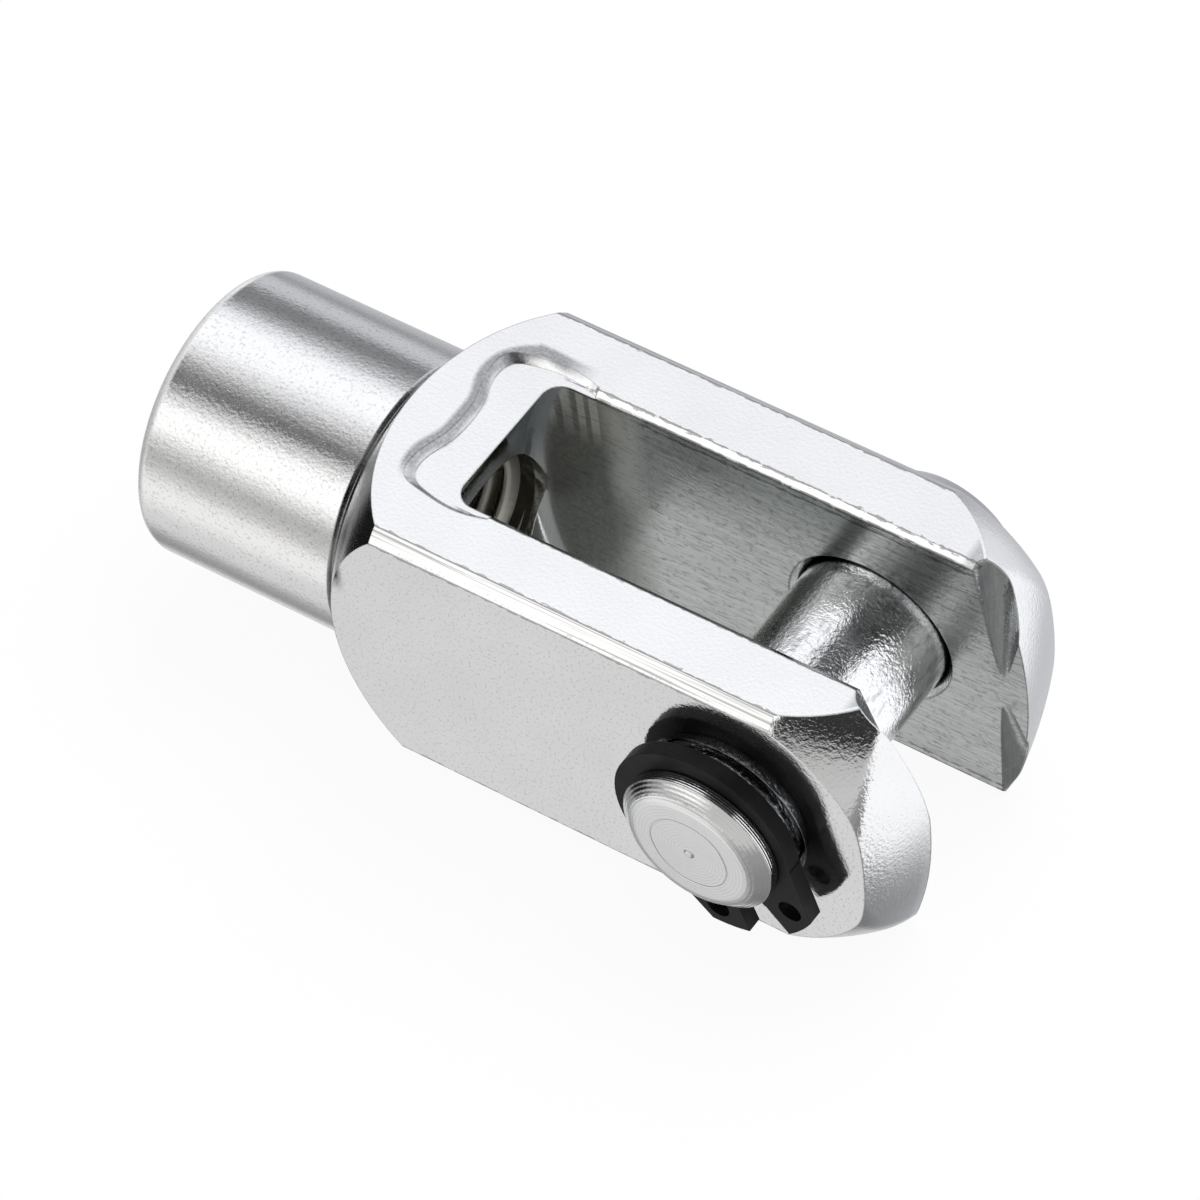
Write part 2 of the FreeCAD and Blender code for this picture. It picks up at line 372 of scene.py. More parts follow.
def scaled_noise(w, scale, detail, seed=0.0):
    """Noise stretched by a different count per metre along X, Y and Z."""
    spread = w.add("ShaderNodeMapping")
    w.feed(w.add("ShaderNodeTexCoord").outputs["Object"], spread.inputs["Vector"])
    spread.inputs["Scale"].default_value = scale
    spread.inputs["Location"].default_value = (seed, seed, seed)
    noise = w.add("ShaderNodeTexNoise", noise_dimensions="3D")
    w.feed(spread.outputs[0], noise.inputs["Vector"])
    noise.inputs["Scale"].default_value = 1.0
    noise.inputs["Detail"].default_value = detail
    return noise.outputs[0]


# %% [markdown]
# A finish here is made of masks: values that are 1 on one kind of surface and 0 elsewhere.
# The words below build them from a position or a noise. Multiplying two masks keeps where
# both hold, and the larger of two keeps where either does.

# %% Words for masks
def both(w, first, second):
    """Keeps where both masks hold. A number in place of one thins the other."""
    return w.math("MULTIPLY", first, second)


def either(w, first, second):
    return w.math("MAXIMUM", first, second)


def opposite(w, mask):
    """1 where the mask is 0, and 0 where it is 1."""
    return w.math("SUBTRACT", 1.0, mask, clamp=True)


def above(w, value, low, soft):
    """0 below low, then rising to 1 over the width soft."""
    return w.math("DIVIDE", w.math("SUBTRACT", value, low), soft, clamp=True)


def below(w, value, high, soft):
    """0 above high, then rising to 1 over the width soft."""
    return w.math("DIVIDE", w.math("SUBTRACT", high, value), soft, clamp=True)


def inside(w, value, low, high, soft):
    """1 between low and high, with soft edges that lie between them."""
    return both(w, above(w, value, low, soft), below(w, value, high, soft))


def length_of(w, *parts):
    """The length of a vector from its parts, which are sockets."""
    total = 0.0
    for part in parts:
        total = w.math("ADD", total, both(w, part, part))
    return w.math("SQRT", total)


def layered(w, colour, layers):
    """Lays each tone over the colour below it, as thickly as its share says."""
    for share, tone in layers:
        colour = mix_colour(w, share, colour, tone)
    return colour


# %% [markdown]
# The fork is one piece with many kinds of surface: a turned neck, sawn and plated flats,
# cutter marks inside the slot, milled scoops and a domed tip. Position decides which is
# which, so one material can cover the whole fork. This cell names the places.

# %% Where a point lies on the fork
BAR_HALF = fork_high.y
NECK_END_X = mm(14.3)
TIP_START_X = mm(44)


class ForkSpot:
    """The sockets and masks that say where a point lies on the fork."""

    def __init__(self, w):
        place = object_place(w)
        self.x, self.y, self.z = place["X"], place["Y"], place["Z"]
        self.side = w.math("ABSOLUTE", self.y)
        self.up = w.math("ABSOLUTE", self.z)
        self.widest = w.math("MAXIMUM", self.side, self.up)
        self.from_axis = length_of(w, self.y, self.z)
        self.on_flat = above(w, self.widest, BAR_HALF - mm(0.03), mm(0.02))
        self.on_top = above(w, self.up, BAR_HALF - mm(0.6), mm(0.1))
        self.on_neck = below(w, self.x, NECK_END_X, mm(0.2))
        self.on_tip = both(w, opposite(w, self.on_flat), above(w, self.x, TIP_START_X, mm(2)))


print("bar is", round(2 * BAR_HALF, 4), "m square")

# %% [markdown]
# The step round the slot's end was milled with a rounded tool, which left a soft sloping band
# on its outer side. Its grey is painted shade on that slope. The band is the distance from a
# simple outline: two lobes at the slot's corners, a bridge between them and an arm along
# each side, joined by smooth minima.

# %% The band round the sunken step
LOBE_X = mm(20.15)
LOBE_Y = mm(3.7)
LOBE_RADIUS = mm(2.05)
BRIDGE_X = mm(18.8)
BAND_WIDTH = mm(1.05)


def sunken_step_band(w, spot):
    from_lobe = w.math("SUBTRACT", spot.side, LOBE_Y)
    along = w.math("SUBTRACT", spot.x, LOBE_X)
    lobe = w.math("SUBTRACT", length_of(w, along, from_lobe), LOBE_RADIUS)
    bridge = w.math("MAXIMUM", w.math("SUBTRACT", BRIDGE_X, spot.x), from_lobe)
    beside = w.math("SUBTRACT", from_lobe, LOBE_RADIUS)
    arm = w.math("MAXIMUM", w.math("MULTIPLY", along, -1.0), beside)
    outside = w.math("SMOOTH_MIN", w.math("SMOOTH_MIN", lobe, bridge, mm(0.9)), arm, mm(0.5))
    band = inside(w, outside, -mm(0.1), BAND_WIDTH, mm(0.3))
    band = both(w, band, above(w, spot.z, BAR_HALF - mm(0.6), mm(0.1)))
    band = both(w, band, below(w, spot.x, mm(23.5), mm(2.2)))
    return both(w, band, above(w, spot.y, -mm(5.6), mm(1.2)))


print("band reaches", round(LOBE_Y + LOBE_RADIUS + BAND_WIDTH, 4), "m sideways")

# %% [markdown]
# Thin ragged dark lines run along the sawn edges and beside the slot. They are painted
# shade standing in for the rolled edges. A stretched noise sets how far each line reaches
# from its edge. The broken long edges of the bar also carry lines drawn along them.

# %% Ragged lines along the edges
CHAMFER_SUM = 2 * BAR_HALF - mm(0.8)
EDGE_SHADE_REACH = mm(0.55)
SLOT_LINE_SIDE = SLOT_HALF + mm(0.4)
SLOT_RIM_UP = BAR_HALF - mm(0.65)


class EdgeMarks:
    """Masks of the lines that run along the fork's edges."""

    def __init__(self, w, spot):
        near_corner = w.math("SUBTRACT", CHAMFER_SUM, w.math("ADD", spot.side, spot.up))
        ragged = scaled_noise(w, (1500.0, 5000.0, 5000.0), 3.0, seed=2.0)
        self.reach = both(w, w.math("SUBTRACT", ragged, 0.36, clamp=True), EDGE_SHADE_REACH)
        on_face = above(w, spot.widest, BAR_HALF - mm(0.06), mm(0.02))
        # The dark lines at the corners and beside the slot are painted shade along the rolled edges.
        corner_line = both(w, w.math("LESS_THAN", near_corner, self.reach), on_face)
        off_face = below(w, spot.widest, BAR_HALF - mm(0.04), mm(0.04))
        self.on_chamfer = both(w, w.math("LESS_THAN", near_corner, mm(0.02)), off_face)
        from_line = w.math("ABSOLUTE", w.math("SUBTRACT", spot.side, SLOT_LINE_SIDE))
        slot_line = both(w, w.math("LESS_THAN", from_line, both(w, self.reach, 0.8)), spot.on_top)
        slot_line = both(w, slot_line, above(w, spot.x, mm(21.5), mm(0.5)))
        lines = either(w, corner_line, slot_line)
        self.lines = both(w, lines, above(w, spot.x, mm(17), mm(1)))


print("slot lines lie", round(SLOT_LINE_SIDE, 4), "m from the middle")

# %% [markdown]
# The ears' inner faces show long lines and short dashes from the side cutter, with some
# stains, and a painted highlight on each. Where the cutter began, at the slot's end, it left
# a dull scallop, on which upright bars of painted highlight lie. The end wall carries
# painted shade, darker at its top and paler at its foot.

# %% Marks inside the slot
BAR_SPACING = mm(1.05)


class SlotMarks:
    """Masks and noises of the slot's inner faces."""

    def __init__(self, w, spot, reach):
        near_wall = inside(w, spot.side, SLOT_HALF - mm(0.6), SLOT_HALF + mm(0.12), mm(0.05))
        high = above(w, spot.up, BAR_HALF - mm(0.52), mm(0.02))
        on_step_floor = both(w, high, below(w, spot.x, mm(24.5), mm(0.5)))
        on_ear = both(w, near_wall, above(w, spot.x, SLOT_END_X + mm(0.8), mm(1.5)))
        self.on_ear = both(w, on_ear, opposite(w, on_step_floor))
        self.lines = scaled_noise(w, (60.0, 6000.0, 6000.0), 3.0, seed=3.0)
        dashes = scaled_noise(w, (1100.0, 8500.0, 8500.0), 3.0)
        self.dashed = both(w, above(w, dashes, 0.56, 0.08), self.on_ear)
        stains = scaled_noise(w, (2600.0, 3400.0, 3400.0), 3.0, seed=8.0)
        self.stained = above(w, stains, 0.58, 0.1)
        # The rim lines are painted shade along the rolled edge below the ears' top.
        from_rim = w.math("ABSOLUTE", w.math("SUBTRACT", spot.up, SLOT_RIM_UP))
        from_rim_line = w.math("ABSOLUTE", w.math("SUBTRACT", from_rim, mm(0.25)))
        self.rim = both(w, self.on_ear, w.math("LESS_THAN", from_rim_line, reach))

        near_scallop = inside(w, spot.side, SLOT_HALF - mm(1.4), SLOT_HALF + mm(0.12), mm(0.05))
        along = both(w, above(w, spot.x, SLOT_END_X + mm(0.3), mm(0.6)), below(w, spot.x, mm(27.5), mm(3.5)))
        under_step = below(w, spot.up, BAR_HALF - mm(0.62), mm(0.04))
        self.on_scallop = both(w, both(w, near_scallop, along), under_step)
        self.columns = scaled_noise(w, (1500.0, 10.0, 40.0), 1.0, seed=5.0)
        # The upright bars are painted highlights on the scallop.
        wavy = w.math("ADD", spot.x, both(w, self.columns, mm(0.9)))
        wave = w.math("SINE", both(w, wavy, 2 * math.pi / BAR_SPACING))
        upper = inside(w, spot.z, mm(5), mm(11), mm(4))
        bars = both(w, both(w, self.on_scallop, upper), above(w, wave, -0.1, 0.6))
        # The glow is a painted highlight on each ear's inner face.
        glow = inside(w, spot.x, mm(24.0), mm(27.4), mm(1.2))
        glow = both(w, glow, inside(w, spot.z, -mm(1), mm(12), mm(4)))
        self.lit = either(w, bars, both(w, both(w, glow, self.on_ear), 0.7))

        # The end wall gets painted shade, darker at the top and paler towards the foot.
        in_slot = both(w, below(w, spot.side, SLOT_HALF - mm(0.1), mm(0.1)),
                       below(w, spot.up, BAR_HALF - mm(0.6), mm(0.1)))
        self.end_wall = both(w, in_slot, inside(w, spot.x, mm(18.5), mm(24), mm(0.3)))


print("slot is", round(2 * SLOT_HALF, 4), "m wide, with bars of light", round(BAR_SPACING, 5), "m apart")

# %% [markdown]
# The remaining marks are the scoops at the ear tips, with a painted dark reflection,
# painted shade in the bores of the pin and the neck, a painted dark reflection and a line
# of painted shade at the root of the turned shoulder, the paler rim of the neck, and
# painted shade on the lower half of the near dome.

# %% Marks of the bores, scoops, shoulder and tip
TIP_BALL = mm(13.9)
FRONT_DOME_X = mm(23.0)
FRONT_DOME = mm(29.9)


class FormMarks:
    """Masks of the bores, the scoops, the shoulder, the neck's rim and the dome."""

    def __init__(self, w, spot, fine):
        from_pin_x = w.math("SUBTRACT", spot.x, PIN_X)
        from_front_x = w.math("SUBTRACT", spot.x, FRONT_DOME_X)
        from_pin = length_of(w, from_pin_x, spot.z)
        in_wall = inside(w, spot.side, mm(4), SLOT_HALF + mm(4), mm(0.3))
        # The pin bore's mask takes painted shade in the gap round the pin.
        self.in_pin_bore = both(w, inside(w, from_pin, mm(4), mm(5.2), mm(0.05)), in_wall)
        # The neck bore's mask takes painted shade inside the bore.
        near_axis = w.math("LESS_THAN", spot.from_axis, THREAD_ROOT + mm(0.05))
        in_neck = inside(w, spot.x, mm(0.5), SLOT_END_X - mm(0.1), mm(0.1))
        self.in_neck_bore = both(w, near_axis, in_neck)

        # The scoops take a painted dark reflection.
        in_ball = w.math("LESS_THAN", length_of(w, from_pin_x, spot.y, spot.z), TIP_BALL)
        in_front = w.math("LESS_THAN", length_of(w, from_front_x, spot.y, spot.z), FRONT_DOME)
        scooped = both(w, both(w, in_ball, in_front), above(w, spot.x, mm(48.5), mm(0.5)))
        scoop_side = inside(w, spot.side, SLOT_HALF + mm(0.03), mm(7.5), mm(0.03))
        self.scooped = both(w, scooped, scoop_side)

        # A painted dark reflection on the shoulder's near side, and a line of painted shade in the groove at its
        # root.
        at_root = inside(w, spot.x, mm(13.9), mm(16.4), mm(0.5))
        near_side = below(w, spot.y, -mm(4.6), mm(1.2))
        dark_reflection_patch = both(w, inside(w, spot.z, mm(3.2), mm(8.6), mm(1.6)), near_side)
        dark_reflection_patch = both(w, both(w, dark_reflection_patch, at_root), w.math("ADD", 0.5, fine))
        root_line = inside(w, spot.x, mm(13.95), mm(14.55), mm(0.15))
        self.shoulder_reflection_and_shade = either(w, dark_reflection_patch, both(w, root_line, 0.55))

        at_end = below(w, spot.x, mm(0.9), mm(0.2))
        self.neck_rim = both(w, at_end, w.math("GREATER_THAN", spot.from_axis, mm(7.9)))
        # The lower half of the near dome takes painted shade.
        low = both(w, spot.on_tip, below(w, spot.z, mm(1), mm(6)))
        self.low_dome = both(w, low, below(w, spot.y, -mm(5), mm(1)))


print("tip ball has radius", round(TIP_BALL, 4), "m about x", round(PIN_X, 4), "m")

# %% [markdown]
# Now the masks become a finish. The tones lie over each other like coats of paint, from
# the bare plating up to the pits. Metallic, roughness and bump follow the same masks. A
# Bevel node rounds the sharp edges in the light alone, so the mesh stays as it is.

# %% Tones of the fork
CLOUDED_ZINC = (0.84, 0.845, 0.85)
BRIGHT_ZINC = (0.93, 0.93, 0.925)
SPECK = (0.5, 0.46, 0.42)
PIT = (0.35, 0.31, 0.26)
EDGE_LINE_SHADE = (0.18, 0.18, 0.17)
DRAWN_LINE = (0.34, 0.34, 0.32)
CUTTER_LINE = (0.34, 0.36, 0.35)
BETWEEN_LINES = (0.72, 0.74, 0.73)
EAR_STAIN = (0.16, 0.15, 0.12)
EAR_DASH = (0.12, 0.12, 0.1)
EAR_RIM_SHADE = (0.12, 0.12, 0.12)
DEEP_SCALLOP = (0.13, 0.14, 0.12)
PALE_SCALLOP = (0.42, 0.43, 0.4)
PAINTED_HIGHLIGHT = (0.95, 0.95, 0.9)
WALL_TOP_SHADE = (0.34, 0.37, 0.38)
WALL_FOOT_LIGHT = (0.8, 0.82, 0.81)
SCOOP_DARK_REFLECTION = (0.3, 0.32, 0.32)
SCOOP_PALE_REFLECTION = (0.62, 0.64, 0.64)
STEP_RAMP_SHADE = (0.36, 0.365, 0.38)
PIN_BORE_SHADE = (0.02, 0.02, 0.02)
NECK_BORE_SHADE = (0.1, 0.09, 0.07)
SHOULDER_REFLECTION_AND_SHADE = (0.03, 0.03, 0.035)
DOME_LOW_SHADE = (0.42, 0.43, 0.44)

# %% Colour of the fork
def fork_colour(w, skin, spot, edges, slot, form, step_band, fine):
    quiet = opposite(w, either(w, both(w, spot.on_top, 0.85), both(w, spot.on_tip, 0.8)))
    speckle = both(w, above(w, fine, 0.57, 0.08), quiet)
    drawn = both(w, edges.on_chamfer, above(w, slot.lines, 0.5, 0.1))
    plain = mix_colour(w, skin["Cloud"], CLOUDED_ZINC, BRIGHT_ZINC)
    plain = layered(w, plain, [
        (both(w, speckle, 0.45), SPECK),
        (both(w, drawn, 0.8), DRAWN_LINE),
    ])
    brushed = mix_colour(w, slot.lines, CUTTER_LINE, BETWEEN_LINES)
    brushed = mix_colour(w, both(w, slot.stained, 0.4), brushed, EAR_STAIN)
    dull = mix_colour(w, fine, DEEP_SCALLOP, PALE_SCALLOP)
    # painted shade on the end wall: dark at the top, paler towards the foot
    wall = mix_colour(w, below(w, spot.z, mm(5), mm(6)), WALL_TOP_SHADE, WALL_FOOT_LIGHT)
    # a painted dark reflection on the scoops, streaked
    scoop_streaks = scaled_noise(w, (6000.0, 6000.0, 150.0), 2.0)
    scoop_reflection = mix_colour(w, scoop_streaks, SCOOP_DARK_REFLECTION, SCOOP_PALE_REFLECTION)
    return layered(w, plain, [
        (slot.on_ear, brushed),
        # painted shade along the ears' rim
        (both(w, slot.rim, 0.75), EAR_RIM_SHADE),
        (both(w, slot.on_scallop, 0.9), dull),
        # painted highlights: bars on the scallop and a patch on each ear
        (slot.lit, PAINTED_HIGHLIGHT),
        # painted shade on the end wall
        (slot.end_wall, wall),
        (both(w, slot.dashed, 0.4), EAR_DASH),
        # painted shade on the step's sloping band
        (both(w, step_band, w.math("ADD", 0.3, fine)), STEP_RAMP_SHADE),
        # painted dark reflection on the scoops
        (both(w, form.scooped, 0.8), scoop_reflection),
        # painted shade in the pin's bore
        (both(w, form.in_pin_bore, 0.95), PIN_BORE_SHADE),
        # painted shade in the neck's bore
        (form.in_neck_bore, NECK_BORE_SHADE),
        # painted dark reflection and painted shade at the shoulder
        (form.shoulder_reflection_and_shade, SHOULDER_REFLECTION_AND_SHADE),
        # painted shade on the near dome's lower half
        (both(w, form.low_dome, 0.6), DOME_LOW_SHADE),
        # painted shade along the rolled edges
        (both(w, edges.lines, 0.6), EDGE_LINE_SHADE),
        (both(w, both(w, skin["Pits"], quiet), 0.45), PIT),
    ])


# %% Plated steel of the fork
PLATED_PEEL = mm(0.02)
EDGE_ROUND = mm(0.12)


def plated_fork():
    material, w, shader = new_finish("zinc_plated_steel", (0.86, 0.865, 0.87), 0.15)
    skin = add_skin(w, 4300.0, 2200.0, 0.15)
    fine = scaled_noise(w, (5200.0, 5200.0, 5200.0), 2.0, seed=7.0)
    spot = ForkSpot(w)
    edges = EdgeMarks(w, spot)
    slot = SlotMarks(w, spot, edges.reach)
    form = FormMarks(w, spot, fine)
    step_band = sunken_step_band(w, spot)
    w.feed(fork_colour(w, skin, spot, edges, slot, form, step_band, fine), shader.inputs["Base Color"])

    bare = either(w, both(w, slot.on_scallop, 0.7), both(w, form.in_neck_bore, 0.5))
    bare = either(w, bare, both(w, form.neck_rim, 0.7))
    w.feed(w.math("SUBTRACT", 1.0, bare), shader.inputs["Metallic"])

    rough = w.math("ADD", 0.05, both(w, skin["Cloud"], 0.08))
    milled = either(w, slot.on_ear, both(w, slot.on_scallop, 2.0))
    for mask, amount in ((step_band, 0.25), (milled, 0.12), (spot.on_neck, 0.07)):
        rough = w.math("ADD", rough, both(w, mask, amount))
    w.feed(rough, shader.inputs["Roughness"])

    peel_share = w.math("ADD", both(w, spot.on_neck, 0.4), both(w, spot.on_tip, 0.8))
    height = both(w, skin["Height"], w.math("ADD", 0.38, peel_share))
    height = w.math("ADD", height, both(w, both(w, slot.columns, slot.on_scallop), 0.7))
    add_bump(w, shader, height, PLATED_PEEL, edge_round=EDGE_ROUND)
    print(material.name, "has", len(material.node_tree.nodes), "nodes")
    return material


fork.data.materials.append(plated_fork())

# %% [markdown]
# The pin is turned from bright bar. Its end face keeps the fine rings of the turning tool
# round a small nub, its bevel has closer marks, and its shank is mottled where the plating
# ran. The rings are a wave of the distance from the pin's axis, which a slow noise bends a
# little, so they stay centred without being too perfect. Inside the ears and under the
# ring the shank carries painted shade.

# %% Marks of the pin
END_CIRCLE = mm(2.55)
RING_SPACING = mm(0.22)
BEVEL_SPACING = mm(0.16)
END_Y = pin_low.y
HEAD_Y = mm(10)


class PinMarks:
    """Masks of the pin's end, bevel, shank and head, and the turning marks as heights."""

    def __init__(self, w):
        place = object_place(w)
        y = place["Y"]
        self.on_end = below(w, y, END_Y + mm(0.35), mm(0.08))
        self.on_bevel = inside(w, y, END_Y + mm(0.3), END_Y + mm(1.7), mm(0.1))
        off_end = w.math("SUBTRACT", 1.0, either(w, self.on_end, self.on_bevel))
        self.on_shank = both(w, off_end, below(w, y, mm(9.9), mm(0.1)))
        self.on_head = above(w, y, HEAD_Y, mm(0.05))
        # Where the shank gets painted shade: under the ring and inside the ears.
        self.under_ring = inside(w, y, -mm(12.2), -mm(9.9), mm(0.1))
        self.in_ears = inside(w, w.math("ABSOLUTE", y), SLOT_HALF + mm(0.2), mm(9.9), mm(0.1))

        wobble = scaled_noise(w, (420.0, 420.0, 420.0), 2.0, seed=6.0)
        bend = both(w, w.math("SUBTRACT", wobble, 0.5), mm(0.25))
        from_pin = length_of(w, w.math("SUBTRACT", place["X"], PIN_X), place["Z"])
        reach = w.math("ADD", from_pin, bend)
        rings = w.math("SINE", w.math("MULTIPLY", reach, 2 * math.pi / RING_SPACING))
        self.rings = both(w, rings, scaled_noise(w, (900.0, 900.0, 900.0), 3.0))
        self.bevel_marks = w.math("SINE", w.math("MULTIPLY", y, 2 * math.pi / BEVEL_SPACING))
        from_circle = w.math("ABSOLUTE", w.math("SUBTRACT", reach, END_CIRCLE))
        near_circle = opposite(w, w.math("DIVIDE", from_circle, mm(0.06)))
        self.groove = both(w, self.on_end, near_circle)


print("pin's end is at y", round(END_Y, 4), "m")

# %% Colour of the pin
CLOUDED_PIN = (0.82, 0.83, 0.83)
BRIGHT_PIN = (0.9, 0.9, 0.9)
BRIGHT_SHANK = (0.97, 0.975, 0.98)
RING_TRACE = (0.5, 0.5, 0.5)
GROOVE_TRACE = (0.3, 0.3, 0.3)
END_PIT = (0.3, 0.28, 0.25)
HEAD_GREY = (0.36, 0.37, 0.39)
SHANK_STAIN = (0.12, 0.12, 0.13)
UNDER_RING_SHADE = (0.26, 0.28, 0.31)
IN_EARS_SHADE = (0.12, 0.13, 0.14)


def pin_colour(w, skin, marks):
    stains = above(w, scaled_noise(w, (1800.0, 700.0, 1800.0), 4.0, seed=4.0), 0.55, 0.08)
    bright = mix_colour(w, skin["Cloud"], CLOUDED_PIN, BRIGHT_PIN)
    return layered(w, bright, [
        (both(w, marks.on_end, both(w, marks.rings, 0.35)), RING_TRACE),
        (both(w, marks.groove, 0.3), GROOVE_TRACE),
        (both(w, skin["Pits"], both(w, marks.on_end, 0.8)), END_PIT),
        (both(w, marks.on_shank, 0.8), BRIGHT_SHANK),
        (both(w, marks.on_head, 0.45), HEAD_GREY),
        (both(w, both(w, stains, marks.on_shank), 0.3), SHANK_STAIN),
        # painted shade under the ring
        (both(w, marks.under_ring, 0.6), UNDER_RING_SHADE),
        # painted shade inside the ears
        (both(w, marks.in_ears, 0.75), IN_EARS_SHADE),
    ])


# %% Turned steel of the pin
def turned_pin():
    material, w, shader = new_finish("turned_pin_steel", (0.86, 0.86, 0.86), 0.12)
    skin = add_skin(w, 3900.0, 3000.0, 0.2)
    marks = PinMarks(w)
    w.feed(pin_colour(w, skin, marks), shader.inputs["Base Color"])
    rough = w.math("ADD", 0.08, both(w, skin["Cloud"], 0.08))
    w.feed(w.math("ADD", both(w, marks.on_end, 0.12), rough), shader.inputs["Roughness"])
    height = both(w, marks.rings, both(w, marks.on_end, 0.16))
    height = w.math("ADD", height, both(w, marks.bevel_marks, both(w, marks.on_bevel, 0.16)))
    height = w.math("SUBTRACT", height, both(w, marks.groove, 0.8))
    peel = both(w, skin["Height"], w.math("ADD", 0.5, both(w, marks.on_shank, 1.3)))
    add_bump(w, shader, w.math("ADD", height, peel), mm(0.02), edge_round=mm(0.08))
    print(material.name, "has", len(material.node_tree.nodes), "nodes")
    return material


pin.data.materials.append(turned_pin())

# %% [markdown]
# The spring ring is stamped from spring steel and blackened, so it hardly mirrors the room.
# Its faces are a little worn, which a slow noise gives as a change of gloss and grey.

# %% Blackened steel of the ring
BLACKENED = (0.006, 0.006, 0.006)
WORN_BLACK = (0.025, 0.025, 0.025)


def blackened_ring():
    material, w, shader = new_finish("blackened_spring_steel", (0.008, 0.008, 0.008), 0.42, metallic=0.0)
    shader.inputs["Specular IOR Level"].default_value = 0.16
    skin = add_skin(w, 9000.0, 2400.0, 0.05)
    wear = scaled_noise(w, (500.0, 500.0, 500.0), 5.0, seed=1.0)
    worn = w.math("MULTIPLY", w.math("SUBTRACT", wear, 0.5, clamp=True), 1.5, clamp=True)
    w.feed(mix_colour(w, worn, BLACKENED, WORN_BLACK), shader.inputs["Base Color"])
    w.feed(w.math("ADD", 0.34, w.math("MULTIPLY", skin["Cloud"], 0.2)), shader.inputs["Roughness"])
    add_bump(w, shader, skin["Height"], mm(0.012), edge_round=mm(0.06))
    print(material.name, "has", len(material.node_tree.nodes), "nodes")
    return material


ring.data.materials.append(blackened_ring())

# %% [markdown]
# The cut thread is bare of bright plating and holds a trace of oil, so it looks darker and
# warmer than the outside. Its crests are painted pale as a painted highlight, and are less
# mirror-like. Its grooves at the bore's mouth are painted dark as painted shade. With its
# finish ready, the tree makes the thread's mesh.

# %% The thread and its finish
OILED_DARK = (0.42, 0.4, 0.35)
OILED_PALE = (0.66, 0.64, 0.58)
THREAD_MOUTH_SHADE = (0.12, 0.115, 0.1)
THREAD_CREST_HIGHLIGHT = (0.9, 0.87, 0.78)


def oiled_thread():
    material, w, shader = new_finish("oiled_thread_steel", (0.5, 0.48, 0.43), 0.3)
    skin = add_skin(w, 8000.0, 2000.0, 0.04)
    place = object_place(w)
    # The grooves at the bore's mouth take painted shade.
    at_mouth = inside(w, place["X"], SLOT_END_X - mm(1.7), SLOT_END_X, mm(0.5))
    # The crests take a painted highlight.
    crest = below(w, length_of(w, place["Y"], place["Z"]), THREAD_ROOT - mm(0.42), mm(0.12))
    colour = layered(w, mix_colour(w, skin["Cloud"], OILED_DARK, OILED_PALE), [
        (both(w, at_mouth, 0.75), THREAD_MOUTH_SHADE),
        (crest, THREAD_CREST_HIGHLIGHT),
    ])
    w.feed(colour, shader.inputs["Base Color"])
    w.feed(w.math("SUBTRACT", 1.0, both(w, crest, 0.7)), shader.inputs["Metallic"])
    add_bump(w, shader, skin["Height"], mm(0.012))
    return material


thread = made_by(build_thread_tree(), "bore_thread", {
    "Start X": THREAD_START_X,
    "Length": SLOT_END_X - mm(0.6) - THREAD_START_X,
    "Pitch": THREAD_PITCH,
    "Root Radius": THREAD_ROOT,
    "Depth": THREAD_DEPTH,
    "Steps Per Turn": STEPS_PER_TURN,
    "Material": oiled_thread(),
})


def turn_faces_outwards(piece):
    work = bmesh.new()
    work.from_mesh(piece.data)
    bmesh.ops.recalc_face_normals(work, faces=work.faces)
    if work.calc_volume(signed=True) < 0:
        bmesh.ops.reverse_faces(work, faces=work.faces)
    open_edges = sum(1 for edge in work.edges if not edge.is_manifold)
    work.to_mesh(piece.data)
    work.free()
    print(piece.name, "faces", len(piece.data.polygons), "open edges", open_edges)


turn_faces_outwards(thread)
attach(thread, "fork")

# %% [markdown]
# Plated metal is only as good as what it mirrors. A photographer hangs soft boxes and dark
# cards round it. Here the world does that for mirror rays alone. Two ramps of grey run
# round the fork's long axis, one for rays that leave towards the neck and one for rays
# that leave towards the tip. Each pair is an angle in degrees, from straight up towards the
# ring side, and a brightness. A white card lights the near dome, and a black flag darkens
# the shoulder. The camera sees plain white, and dull surfaces get an even light.

# %% Levels of grey round the room
NECK_SIDE_OF_ROOM = [
    (-180, 0.3), (-164, 0.76), (-140, 0.62), (-116, 0.5), (-104, 0.32), (-92, 0.64), (-80, 0.64), (-68, 0.22),
    (-56, 0.24), (-46, 0.5), (-38, 0.95), (-28, 1.16), (-8, 1.16), (4, 0.85), (16, 0.4), (27, 0.1),
    (38, 0.66), (50, 1.2), (66, 1.2), (76, 0.8), (88, 0.46), (100, 0.62), (114, 0.98), (126, 0.95),
    (138, 0.74), (154, 0.72), (166, 0.4), (180, 0.3),
]
TIP_SIDE_OF_ROOM = [
    (-180, 0.25), (-140, 0.6), (-100, 0.85), (-60, 0.95), (-45, 0.85), (-36, 0.1), (-5, 0.06),
    (10, 0.45), (22, 0.4), (34, 0.04), (56, 0.03), (67, 0.55), (100, 0.62), (116, 0.34),
    (150, 0.26), (180, 0.2),
]
EVEN_LIGHT = 0.62
BEHIND_LIGHT = 0.26
CARD_LIGHT = 1.08
FLAG_LIGHT = 0.01
WARM_TINT = (1.0, 0.99, 0.98)
COOL_TINT = (0.95, 0.965, 1.01)
WHITE = (1.0, 1.0, 1.0)


def grey(level):
    return (level, level, level)


print("ramps with", len(NECK_SIDE_OF_ROOM), "and", len(TIP_SIDE_OF_ROOM), "stops")

